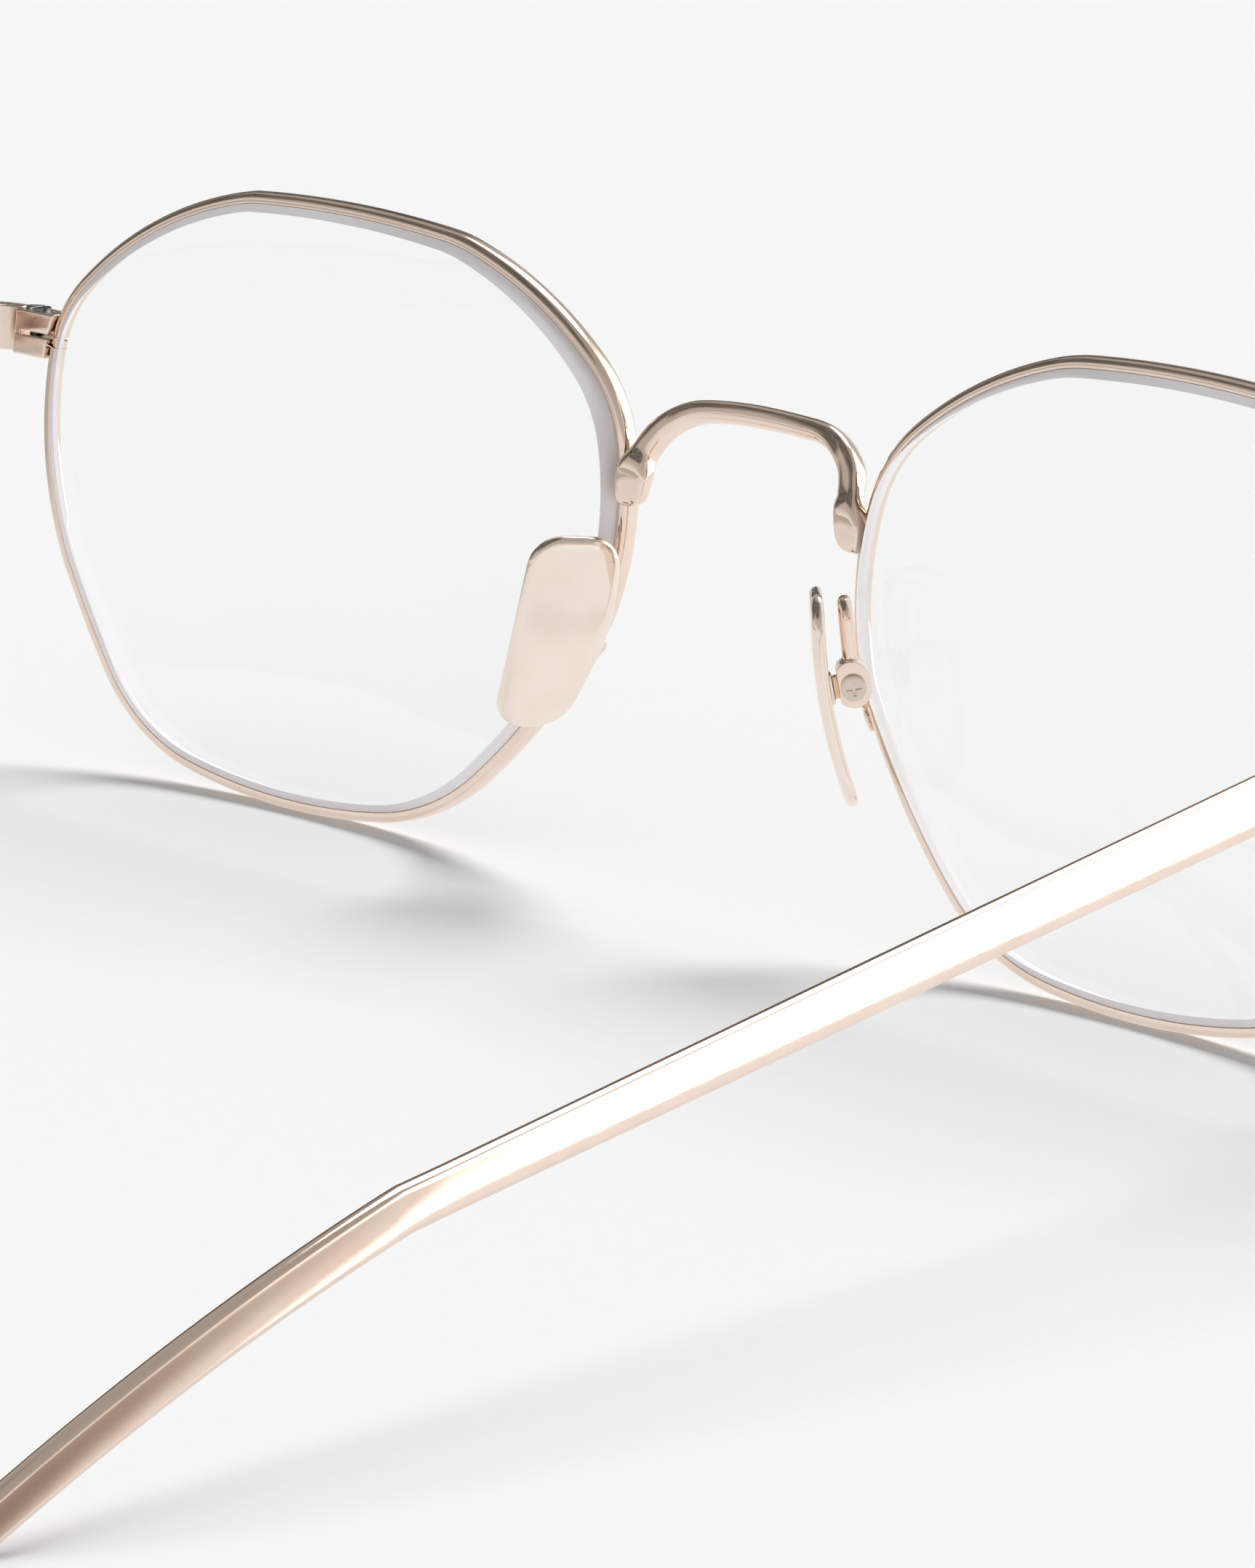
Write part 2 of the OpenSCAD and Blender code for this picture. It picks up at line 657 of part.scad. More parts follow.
// A leg with its foot: its outline from the front, and its outline from the side
module leg() {
  w = foot_w / 2;
  d = bar_d / 2;
  back = foot_y + foot_t;
  intersection() {
    translate([leg_x, 0, 0]) rotate([90, 0, 0]) linear_extrude(height = 8, center = true)
      polygon([
        [-1.1, leg_z + 1.9], [-1, leg_z + 1], [-1.1, leg_z], [-w, leg_z - 0.9],
        [-w, foot_z + 1], [0.3 - w, foot_z + 0.35], [-0.4, foot_z], [0.3, foot_z],
        [w - 0.3, foot_z + 0.3], [w, foot_z + 1], [w, leg_z - 0.8], [0.85, leg_z + 0.2],
        [0.5, leg_z + 1.2], [0.1, leg_z + 1.9]
      ]);
    rotate([90, 0, 90]) linear_extrude(height = 20)
      polygon([
        [leg_y - d - 0.7, leg_z + 2], [leg_y - d, leg_z], [foot_y - 0.4, leg_z - 0.9],
        [foot_y, leg_z - 1.2], [foot_y, foot_z - 1], [back - 0.35, foot_z - 1],
        [back - 0.2, foot_z + 0.2], [back, foot_z + 0.9], [back, leg_z - 1.4],
        [leg_y + d + 0.1, leg_z - 0.4], [leg_y + d, leg_z], [leg_y + d - 0.7, leg_z + 2]
      ]);
  }
}

module bridge() {
  color(GOLD) {
    translate([0, -bridge_forward, eye_z + bridge_rise]) rotate([90 + bridge_lean, 0, 0]) {
      bar_arc([0, -BOW_R], BOW_R, 90 - bow_a, 2 * bow_a);
      for (s = [-1, 1]) side(s) bar_arc([BEND_X, -bend_drop], BEND_R, 0, 91.5 - bow_a);
    }
    for (s = [-1, 1]) side(s) leg();
  }
}

bridge();
rim(1);  // rim_left
rim(-1);  // rim_right
lens(1);  // lens_left
lens(-1);  // lens_right
closing_block_upper(1);  // closing_block_upper_left
closing_block_upper(-1);  // closing_block_upper_right
closing_block_lower(1);  // closing_block_lower_left
closing_block_lower(-1);  // closing_block_lower_right
closing_screw(1);  // closing_screw_left
closing_screw(-1);  // closing_screw_right
end_piece(1);  // end_piece_left
end_piece(-1);  // end_piece_right
front_knuckles(1);  // front_knuckles_left
front_knuckles(-1);  // front_knuckles_right
hinge_screw(1);  // hinge_screw_left
hinge_screw(-1);  // hinge_screw_right
temple(1);  // temple_left
temple(-1);  // temple_right
temple_knuckle(1);  // temple_knuckle_left
temple_knuckle(-1);  // temple_knuckle_right
pad_arm(1);  // pad_arm_left
pad_arm(-1);  // pad_arm_right
pad_box(1);  // pad_box_left
pad_box(-1);  // pad_box_right
pad_screw(1);  // pad_screw_left
pad_screw(-1);  // pad_screw_right
nose_pad(1);  // nose_pad_left
nose_pad(-1);  // nose_pad_right
pad_lug(1);  // pad_lug_left
pad_lug(-1);  // pad_lug_right
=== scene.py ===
import math

import bpy
from mathutils import Matrix, Vector

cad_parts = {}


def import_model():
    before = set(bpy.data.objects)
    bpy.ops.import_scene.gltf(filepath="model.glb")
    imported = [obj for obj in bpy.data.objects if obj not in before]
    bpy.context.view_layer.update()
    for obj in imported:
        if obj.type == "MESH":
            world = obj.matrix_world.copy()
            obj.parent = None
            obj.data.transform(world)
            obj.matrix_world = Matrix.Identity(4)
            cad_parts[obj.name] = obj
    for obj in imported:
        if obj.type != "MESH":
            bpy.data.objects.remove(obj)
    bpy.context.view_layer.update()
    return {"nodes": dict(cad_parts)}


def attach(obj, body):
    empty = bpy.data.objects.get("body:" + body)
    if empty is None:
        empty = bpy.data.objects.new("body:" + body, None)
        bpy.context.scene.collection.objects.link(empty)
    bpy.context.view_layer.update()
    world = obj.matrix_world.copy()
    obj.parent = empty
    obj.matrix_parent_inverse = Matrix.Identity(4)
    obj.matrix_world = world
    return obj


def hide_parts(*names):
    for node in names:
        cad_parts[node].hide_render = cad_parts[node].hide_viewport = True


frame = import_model()
MM = 0.001

# The photograph's size in pixels, and the camera that was fitted to it
PHOTO_SIZE = (1725, 2156)
FOCAL_PX = 10742.8
SENSOR_MM = 36.0
CAMERA_AT = (-286.99, 419.93, 120.72)
CAMERA_RIGHT = (-0.8048, -0.5871, 0.0874)
CAMERA_UP = (0.1966, -0.1247, 0.9725)
CAMERA_BACK = (-0.5601, 0.7998, 0.2158)
CAMERA_CLIP_M = (0.01, 20)

# Lens, rim and hinge, with the CAD source's sizes
LENS_W, LENS_H = 48.5, 41.7
LENS_R, LENS_T = 150.0, 1.5
NOSE_GAP, WRAP = 19.5, math.radians(2.5)
EYE_X = (LENS_W + NOSE_GAP) / 2
WIRE_T, WIRE_D = 0.8, 1.8
GROOVE_DEPTH, GROOVE_W = 0.35, 0.9
WIRE_IN, WIRE_OUT = -GROOVE_DEPTH, WIRE_T - GROOVE_DEPTH
SEAT, SLIT = 0.02, 0.25
HINGE_RISE, HINGE_BACK = 8.2, 8.5
BLOCK_W, TURN_R = 2.7, 3.3
KNUCKLE_R, KNUCKLE_AIR = 1.25, 0.1
STRIP_IN = KNUCKLE_R + KNUCKLE_AIR

# The lens's corners in shares of half its size, its sides' bows in degrees, and its corners' radii in shares
# of half its height. The side and the corner above the nose are a little rounder than the source's.
CORNERS = [
    (0.975, 0.49), (0.34, 0.985), (-0.38, 0.975), (-0.945, 0.56),
    (-0.955, -0.17), (-0.46, -0.925), (0.6, -0.88), (0.895, -0.345),
]
SIDE_BOWS = [20.88, 6.27, 17.3, 19.32, 11.42, 17.83, 4.47, 18.93]
CORNER_ROUNDS = [0.432, 0.336, 0.55, 0.48, 0.336, 0.671, 0.623, 0.863]
NOSE_SIDE, BOTTOM_SIDE, TEMPLE_SIDE = 4, 5, 7

# The wire's section: its lips beside the groove, its round shoulders and its slight crown
WIRE_LIP, LIP_STEPS = 0.07, 3
SHOULDER, SHOULDER_STEPS = (0.54, 0.62), 10
CROWN_RISE, CROWN_HALF = 0.02, 0.1
RIM_SPACING = 0.8

# The lens's mesh: rings between its middle and its edge, and the bevel that stands in the groove
LENS_SHARES = [0.25, 0.5, 0.75, 0.9, 1.0]
LENS_SPACING, EDGE_BANDS = 1.0, 5
BEVEL_AIR, BEVEL_TIP = 0.08, -0.05
# The ground edge's depth behind the wire, how it slopes, how late it grows, and its share away from the nose
EDGE_BACK, EDGE_SLOPE, EDGE_POWER, EDGE_EVEN = 1.2, 0.55, 2.2, 0.3

# The temple, with the source's sizes
BEND_LENGTH, TIP_LENGTH = 103.5, 33.0
TEMPLE_SLOPE, TOE_IN, TIP_CURL = math.radians(9.4), math.radians(3), math.radians(10)
TEMPLE_T, TEMPLE_H, BEND_H, TIP_H = 1.0, 3.4, 2.4, 2.0
STRIP_STEPS, TIP_STEPS = 30, 24
# Its crowned face, and its edges' radius with the most that it takes of half the thickness and of the height
TEMPLE_CROWN, TEMPLE_EDGE_R = 0.07, 0.42
EDGE_SHARE_T, EDGE_SHARE_H = 0.9, 0.45
# The turns in degrees over which its end closes to a thinner round
END_TURNS, END_THIN = (20, 40, 58, 72, 82, 88), 0.45
# How far the strip leans in at its top: along its length, at the bend and at the tip, and where that begins
TEMPLE_CANT, BEND_CANT, TIP_CANT = math.radians(15), math.radians(17), math.radians(24)
CANT_FROM, CANT_OVER = 6, 12

# The nose pad, with the source's sizes: its corners and rounds are shares of its half size
PAD_H, PAD_W, PAD_T, PAD_CROWN = 14.3, 6.9, 0.9, 36.0
PAD_SPLAY, PAD_LEAN = math.radians(37), math.radians(15)
PAD_SCREW_X, PAD_SCREW_BACK, PAD_SCREW_DROP = 12.3, 3.2, 2.85
PAD_REACH, PAD_MID, PAD_SHIFT = 1.6, -0.65, -0.15
PAD_CORNERS = [(0.8, 0.98), (-1, 0.98), (-1.01, 0.14), (-0.38, -0.98), (0.98, -1)]
PAD_SIDE_BOWS = [5.85, 2.89, 3.99, 4.42, 3.41]
PAD_CORNER_ROUNDS = [0.333, 0.306, 1.111, 0.417, 0.306]
# Its mesh: rings of the flat face, then the round edge as distance from the outline and share of the depth
PAD_SPACING, PAD_FLAT = 0.45, -0.7
PAD_SHARES = (0.3, 0.6, 0.85)
PAD_EDGE = [(-0.35, 0.94), (-0.16, 0.78), (-0.04, 0.42), (0, 0.0)]

# The pad arm: a round wire, whose foot lies on the rim and narrows to its end
ARM_R, ARM_LOOP_H, ARM_LOOP_R, ARM_LEAN = 0.48, 4.3, 0.95, math.radians(4)
ARM_LOW, ARM_BACK, ARM_TUCK = -1.2, 0.2, 0.42
# Where its foot lies along the rim's nose side, and its heights up the outer leg and down the inner one
ARM_FOOT = (0.17, 0.11, 0.05)
ARM_UP, ARM_DOWN = (0.2, 1.8, 3.4), (3.2, 2.2, 1.72)
ARM_THIN, ARM_THIN_OVER = 0.72, 0.05
ARM_STEPS, TUBE_SIDES = 6, 20

# The bridge's bar: it leans forward at its top, and a large radius bows it upward
BRIDGE_RISE, BRIDGE_FORWARD, BRIDGE_LEAN = 12.1, 2.0, math.radians(20)
BAR_H, BAR_D, BAR_POWER = 1.5, 1.9, 2.6
BOW_R, BAR_STEPS = 90.0, 5
# Seen from above, it is bowed forward: how much, over which half width, and the share ahead of its plane
PLAN_BOW, PLAN_BOW_OVER, PLAN_BOW_AHEAD = 0.5, 7, 0.6
# The bends on both sides: place, radius and droop
BEND_LEFT, BEND_RIGHT = (4.05, 4.4, 0.34), (4.1, 4.4, 0.0)
# Their turns in degrees. Half of the droop comes before the bend, and the rest by the second value.
BEND_TURNS, DROOP_BY = (4, 16, 28, 40, 52, 63), 40
# How the bar grows along them
BEND_GROW_H, BEND_GROW_D, BEND_GROW_POWER = 0.06, 0.04, 0.4
# Stations down a leg and its foot: height, nose side, outer side, front, rear, squareness
LEG_LEFT = [
    (29.85, 7.5, 9.2, -1.35, 0.5, 2.9),
    (29.35, 7.42, 9.5, -1.0, 0.88, 3.1),
    (28.85, 7.32, 9.78, -0.72, 1.02, 3.4),
    (28.2, 7.28, 9.87, -0.45, 1.06, 4.0),
    (27.5, 7.36, 9.82, -0.32, 1.05, 4.0),
    (26.95, 7.5, 9.76, -0.25, 1.03, 4.0),
    (26.55, 7.76, 9.64, -0.2, 0.98, 3.6),
    (26.32, 8.1, 9.42, -0.1, 0.84, 3.0),
    (26.22, 8.5, 9.1, 0.15, 0.55, 2.4),
]
LEG_RIGHT = [
    (29.95, 7.5, 9.2, -1.35, 0.46, 2.9),
    (29.4, 7.6, 9.45, -1.0, 0.84, 3.1),
    (28.85, 7.75, 9.8, -0.72, 1.0, 3.4),
    (28.2, 7.93, 10.05, -0.45, 1.05, 4.0),
    (27.5, 8.1, 10.1, -0.35, 1.04, 4.0),
    (26.95, 8.36, 10.1, -0.28, 1.02, 4.0),
    (26.6, 8.7, 10.04, -0.22, 0.96, 3.6),
    (26.42, 9.05, 9.95, -0.1, 0.82, 3.0),
    (26.34, 9.4, 9.7, 0.15, 0.55, 2.4),
]
# The upper stations still lean with the bar: the lean at the top, and the heights over which it fades
LEG_LEAN, LEG_UPRIGHT_AT, LEG_LEAN_OVER = 0.3, 28.4, 1.4

# Features per millimetre: a metal's tones and grain, smears on glass, the ground edge and the paper's fibres
TONE_SCALE, GRAIN_SCALE, SMEAR_SCALE, GROUND_SCALE, FIBRE_SCALE = 0.35, 3.5, 0.08, 1.2, 0.9
GRAIN_DEPTH = 0.02
# Noise keeps to the middle of its range
NOISE_RANGE = (0.3, 0.7)

# The light: a broad lamp high in front of the glasses, a plain sky for the floor, and the background as seen
KEY_FROM = (0.1, -0.65, 0.85)
SKY_LIGHT, KEY_LIGHT, KEY_ANGLE = 0.38, 2.56, math.radians(32)
SKY_COLOUR, SEEN_COLOUR = (0.99, 1.0, 0.995, 1), (0.918, 0.92, 0.918, 1)
# The studio that the metal mirrors, from straight below to straight above
STUDIO_STOPS = [
    (0.0, (0.75, 0.74, 0.72)), (0.5, (0.88, 0.88, 0.87)), (0.54, (0.8, 0.79, 0.77)),
    (0.6, (0.55, 0.53, 0.5)), (0.84, (0.45, 0.435, 0.41)), (1.0, (0.4, 0.385, 0.37)),
]
# Round patches in it: direction, the cosines where it starts and where it is full, and its light
STUDIO_PATCHES = [
    ((-0.55, -0.75, 0.3), 0.8, 0.92, (1.9, 1.87, 1.82)),
    ((-0.93, -0.25, 0.27), 0.895, 0.925, (0.88, 0.84, 0.8)),
    ((-0.93, -0.25, 0.27), 0.935, 1.0, (0.3, 0.24, 0.2)),
    (KEY_FROM, 0.955, 0.97, (5.0, 5.0, 4.9)),
]
# Dark patches high up and toward the left temple, in the same terms, and their smoky tones
DARK_PATCHES = [
    ((0.15, 0.45, 0.88), 0.8, 0.9),
    ((0.78, 0.2, 0.42), 0.83, 0.93),
    ((0.68, -0.62, 0.35), 0.92, 0.965),
]
SMOKE_DARK, SMOKE_PALE = (0.035, 0.032, 0.03), (0.27, 0.26, 0.24)
SMOKE_SCALE, SMOKE_DETAIL, SMOKE_TWIST = 8.0, 5, 1.2

# The floor: half its width in metres, and its tones
FLOOR_HALF = 4.0
FLOOR_TONES = (0.90, 0.905, 0.90), (0.91, 0.912, 0.91)
# How bright the metal sees it, as a painted glow toward the bright front and a painted shade at the far
# left, between two places, also in metres.
# The last value is how much of that painted glow replaces the paper.
PAINTED_GLOW_SIDE, PAINTED_GLOW_RANGE, PAINTED_GLOW_LEVELS = (-0.6, -0.8, 0), (-0.12, 0.08), (0.78, 1.0)
PAINTED_SHADE_RANGE, PAINTED_SHADE_LEVELS = (0.1, 0.14), (1.0, 0.45)
PAINTED_GLOW_SHARE = 0.75


# Outlines: a list of arcs, each with its centre, radius, start angle and sweep
def side_centre(a, b, r):
    """The centre of the arc that bows a side outward between two corners."""
    h = (b - a).length / 2
    n = Vector((a.y - b.y, b.x - a.x)) / (2 * h)
    return (a + b) / 2 + n * math.sqrt(r * r - h * h)


def meet(c0, r0, c1, r1, near):
    """Where two circles cross, on the side of a given point."""
    d = (c1 - c0).length
    e = (c1 - c0) / d
    x = (d * d + r0 * r0 - r1 * r1) / (2 * d)
    y = math.sqrt(r0 * r0 - x * x)
    across = Vector((-e.y, e.x)) * y
    both = [c0 + e * x + across, c0 + e * x - across]
    return min(both, key=lambda p: (p - near).length)


def heading(v):
    return math.atan2(v.y, v.x)


def outline_arcs(corners, w, h, side_bows, corner_rounds):
    """Arcs round a shape of bowed sides and round corners, corner and side by turns."""
    corners = [Vector((x * w / 2, y * h / 2)) for x, y in corners]
    corner_r = [r * h / 2 for r in corner_rounds]
    n = len(corners)
    side_r = [(corners[(i + 1) % n] - corners[i]).length / 2 / math.sin(math.radians(side_bows[i]))
              for i in range(n)]
    s = [side_centre(corners[i], corners[(i + 1) % n], side_r[i]) for i in range(n)]
    f = [meet(s[i - 1], side_r[i - 1] - corner_r[i], s[i], side_r[i] - corner_r[i], corners[i])
         for i in range(n)]
    arcs = []
    for i in range(n):
        k = (i + 1) % n
        a0, a1, a2 = heading(f[i] - s[i - 1]), heading(f[i] - s[i]), heading(f[k] - s[i])
        arcs.append((f[i], corner_r[i], a0, (a1 - a0) % math.tau))
        arcs.append((s[i], side_r[i], a1, (a2 - a1) % math.tau))
    return arcs


def outline(arcs, spacing):
    """Points of an outline, each with its outward normal."""
    points = []
    for centre, r, start, sweep in arcs:
        steps = max(4, round(r * sweep / spacing))
        for i in range(steps):
            a = start + sweep * i / steps
            n = Vector((math.cos(a), math.sin(a)))
            points.append((centre + n * r, n))
    return points


LENS_ARCS = outline_arcs(CORNERS, LENS_W, LENS_H, SIDE_BOWS, CORNER_ROUNDS)
PAD_ARCS = outline_arcs(PAD_CORNERS, PAD_W, PAD_H, PAD_SIDE_BOWS, PAD_CORNER_ROUNDS)
BOTTOM_ARC, TEMPLE_ARC = LENS_ARCS[2 * BOTTOM_SIDE + 1], LENS_ARCS[2 * TEMPLE_SIDE + 1]

# Places that follow from the outline: the rim stands on the floor, and the end piece leads to the hinge
EYE_Z = BOTTOM_ARC[1] + WIRE_OUT - BOTTOM_ARC[0].y
BLOCK_END = TEMPLE_ARC[0].x + TEMPLE_ARC[1] + WIRE_OUT + BLOCK_W
HINGE_X = EYE_X + BLOCK_END * math.cos(WRAP) + TURN_R - STRIP_IN - TEMPLE_T
HINGE_Z = EYE_Z + HINGE_RISE
PAD_SCREW = Vector((PAD_SCREW_X, PAD_SCREW_BACK, EYE_Z - PAD_SCREW_DROP))
PAD_TURN = Matrix.Rotation(math.pi / 2 - PAD_SPLAY, 3, "Z") @ Matrix.Rotation(math.pi / 2 - PAD_LEAN, 3, "X")
TEMPLE_TURN = Matrix.Rotation(TOE_IN, 3, "Z")


def from_eye(u, v, front):
    """A place in the left rim's plane, and in front of it."""
    return Vector((
        EYE_X + u * math.cos(WRAP) + front * math.sin(WRAP),
        u * math.sin(WRAP) - front * math.cos(WRAP),
        EYE_Z + v,
    ))


def from_pad(x, y, z):
    """A place along the left pad's width, height and depth, from its screw."""
    return PAD_SCREW + PAD_TURN @ Vector((x, y, z))


def from_temple(out, back, up):
    """A place beside and behind the left hinge, above the floor."""
    return Vector((HINGE_X, HINGE_BACK, 0)) + TEMPLE_TURN @ Vector((out, back, up))


# Meshes
def piece(name, node, points, faces, materials, side=1, body="front", picks=None,
          smooth=38):
    """One mesh piece, mirrored for the right side, that rides on its body and stands for its node.

    The picks give each face's material. Edges that bend by less than smooth degrees are shaded softly.
    """
    mesh = bpy.data.meshes.new(name)
    at = [(p.x * side * MM, p.y * MM, p.z * MM) for p in points]
    turned = [list(reversed(f)) if side < 0 else list(f) for f in faces]
    mesh.from_pydata(at, [], turned)
    for material in materials:
        mesh.materials.append(material)
    if picks:
        for polygon, pick in zip(mesh.polygons, picks):
            polygon.material_index = pick
    mesh.validate()
    mesh.shade_smooth()
    mesh.set_sharp_from_angle(angle=math.radians(smooth))
    mesh.update()
    obj = bpy.data.objects.new(name, mesh)
    bpy.context.collection.objects.link(obj)
    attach(obj, body)
    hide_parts(node)


def loft(rings):
    """Points and faces of a skin over rings of equal length, with a flat cap at both ends."""
    n = len(rings[0])
    points = [p for ring in rings for p in ring]
    faces = []
    for i in range(len(rings) - 1):
        j = i + 1
        for k in range(n):
            m = (k + 1) % n
            faces.append((i * n + k, i * n + m, j * n + m, j * n + k))
    faces.append(tuple(range(n - 1, -1, -1)))
    faces.append(tuple((len(rings) - 1) * n + k for k in range(n)))
    return points, faces


def pillow(first, rings, last, flipped=False):
    """Points and faces of a skin from one middle point over rings to another middle point."""
    n = len(rings[0])
    points = [first] + [p for ring in rings for p in ring] + [last]
    end = len(points) - 1
    faces = [(0, 1 + k, 1 + (k + 1) % n) for k in range(n)]
    for i in range(len(rings) - 1):
        a, b = 1 + i * n, 1 + (i + 1) * n
        for k in range(n):
            m = (k + 1) % n
            faces.append((a + k, b + k, b + m, a + m))
    faces += [(end - n + k, end, end - n + (k + 1) % n) for k in range(n)]
    if flipped:
        faces = [(f[0], *reversed(f[1:])) for f in faces]
    return points, faces


def rounded_box(half_a, half_b, r, steps=5):
    """The outline of a rectangle with round corners, counter-clockwise."""
    points = []
    for quarter in range(4):
        ca = (half_a - r) * (1 if quarter in (0, 3) else -1)
        cb = (half_b - r) * (1 if quarter in (0, 1) else -1)
        for i in range(steps + 1):
            a = math.pi / 2 * (quarter + i / steps)
            points.append((ca + r * math.cos(a), cb + r * math.sin(a)))
    return points


def smooth_line(points, steps):
    """A curve through the points."""
    line = []
    n = len(points)
    for i in range(n - 1):
        p0, p1, p2, p3 = points[max(i - 1, 0)], points[i], points[i + 1], points[min(i + 2, n - 1)]
        for k in range(steps):
            t = k / steps
            line.append(0.5 * (2 * p1 + (p2 - p0) * t + (2 * p0 - 5 * p1 + 4 * p2 - p3) * t ** 2
                               + (3 * p1 - p0 - 3 * p2 + p3) * t ** 3))
    line.append(points[-1])
    return line


def oval(centre, across, back, half_a, half_b, power, sides=44):
    """A ring between an ellipse and a rectangle: the power says how square it is."""
    ring = []
    for k in range(sides):
        a = math.tau * k / sides
        c, s = math.cos(a), math.sin(a)
        u = math.copysign(abs(c) ** (2 / power), c) * half_a
        v = math.copysign(abs(s) ** (2 / power), s) * half_b
        ring.append(centre + across * u + back * v)
    return ring


# Nodes of materials and of the world
def feed(tree, node, inputs):
    """Gives a node its inputs: other nodes' outputs are linked, and plain values are written."""
    for key, value in inputs.items():
        if isinstance(value, bpy.types.NodeSocket):
            tree.links.new(value, node.inputs[key])
        else:
            node.inputs[key].default_value = value


def add(tree, kind, inputs=None, **settings):
    """A new node with its settings and its inputs."""
    node = tree.nodes.new("ShaderNode" + kind)
    for name, value in settings.items():
        setattr(node, name, value)
    feed(tree, node, inputs or {})
    return node


def place_of(tree, kind="Object"):
    """Where a point lies on its object, or the direction of a ray that leaves the scene."""
    return add(tree, "TexCoord").outputs[kind]


def noise(tree, scale, detail=3, stretch=(1, 1, 1)):
    """Noise over the object's own place, in features per millimetre."""
    scales = [s * scale / MM for s in stretch]
    mapped = add(tree, "Mapping", {"Vector": place_of(tree), "Scale": scales}).outputs["Vector"]
    return add(tree, "TexNoise", {"Vector": mapped, "Scale": 1.0, "Detail": detail}).outputs["Fac"]


def ranged(tree, value, source, target, **settings):
    """A value moved from one range to another, and held at the ends."""
    inputs = {"Value": value, "From Min": source[0], "From Max": source[1],
              "To Min": target[0], "To Max": target[1]}
    return add(tree, "MapRange", inputs, **settings).outputs["Result"]


def spread(tree, value, target=(0, 1)):
    """Noise spread over a target range."""
    return ranged(tree, value, NOISE_RANGE, target)


def tones(tree, factor, low, high):
    """A colour between two, each a tone or another node's output."""
    low, high = [(*tone, 1) if isinstance(tone, tuple) else tone for tone in (low, high)]
    return add(tree, "Mix", {"Factor": factor, "A": low, "B": high}, data_type="RGBA").outputs["Result"]


def maths(tree, operation, first, second, **settings):
    return add(tree, "Math", {0: first, 1: second}, operation=operation, **settings).outputs["Value"]


def along(tree, place, direction):
    """How far a place lies in a direction."""
    return add(tree, "VectorMath", {0: place, 1: direction}, operation="DOT_PRODUCT").outputs["Value"]


def blend(tree, factor, first, second):
    return add(tree, "MixShader", {"Fac": factor, 1: first, 2: second}).outputs["Shader"]


# Materials
def material(name):
    made = bpy.data.materials.new(name)
    made.use_nodes = True
    return made, made.node_tree, made.node_tree.nodes["Principled BSDF"]


def metal(name, light, deep, rough, grain=(1, 1, 1), bump=0.02):
    """A metal of two close tones with a fine grain, which varies its roughness and its surface."""
    made, tree, shader = material(name)
    tone = tones(tree, spread(tree, noise(tree, TONE_SCALE, 2)), light, deep)
    fine = noise(tree, GRAIN_SCALE, 4, grain)
    relief = add(tree, "Bump", {"Height": fine, "Strength": bump, "Distance": GRAIN_DEPTH * MM})
    feed(tree, shader, {"Metallic": 1.0, "Base Color": tone, "Roughness": spread(tree, fine, rough),
                        "Normal": relief.outputs["Normal"]})
    return made


def lens_glass():
    """Clear glass with faint smears, which lets the lamp's light through."""
    made, tree, shader = material("lens_glass")
    smears = spread(tree, noise(tree, SMEAR_SCALE, 2), (0, 0.012))
    feed(tree, shader, {"Base Color": (0.985, 0.99, 0.992, 1), "Transmission Weight": 1.0, "IOR": 1.5,
                        "Specular IOR Level": 0.2, "Roughness": smears})
    clear = add(tree, "BsdfTransparent", {"Color": (0.97, 0.975, 0.98, 1)}).outputs["BSDF"]
    shadow = add(tree, "LightPath").outputs["Is Shadow Ray"]
    surface = blend(tree, shadow, shader.outputs["BSDF"], clear)
    feed(tree, tree.nodes["Material Output"], {"Surface": surface})
    return made


def lens_edge():
    """The matt ground edge, with a painted glow in place of the light that the lens leads to it: it glows
    faintly, and more where it is seen through the lens.
    """
    made, tree, shader = material("lens_edge")
    tone = tones(tree, spread(tree, noise(tree, GROUND_SCALE)), (0.95, 0.90, 0.91), (0.92, 0.90, 0.93))
    # Painted glow: the edge's emission is stronger where it is seen from inside the lens
    painted_glow_inside = add(tree, "NewGeometry").outputs["Backfacing"]
    feed(tree, shader, {"Base Color": tone, "Roughness": 0.35, "Emission Color": (1.0, 0.98, 0.97, 1),
                        "Emission Strength": ranged(tree, painted_glow_inside, (0, 1), (0.06, 0.42))})
    return made


GOLD = metal("rose_gold", light=(0.90, 0.75, 0.65), deep=(0.87, 0.71, 0.60), rough=(0.02, 0.06))
BRUSHED = metal("rose_gold_strip", light=(0.90, 0.75, 0.65), deep=(0.87, 0.71, 0.61), rough=(0.05, 0.11),
                grain=(0.6, 0.06, 1.2), bump=0.03)
PAD_METAL = metal("rose_gold_pad", light=(0.94, 0.83, 0.74), deep=(0.92, 0.80, 0.70), rough=(0.015, 0.045))
SATIN = metal("rose_gold_satin", light=(0.92, 0.78, 0.69), deep=(0.88, 0.73, 0.63), rough=(0.2, 0.28),
              bump=0.008)
SCREW = metal("screw_metal", light=(0.74, 0.64, 0.56), deep=(0.64, 0.54, 0.47), rough=(0.1, 0.22),
              bump=0.06)
STEEL = metal("screw_steel", light=(0.23, 0.25, 0.26), deep=(0.17, 0.185, 0.19), rough=(0.12, 0.25),
              bump=0.06)
GLASS = lens_glass()
EDGE = lens_edge()


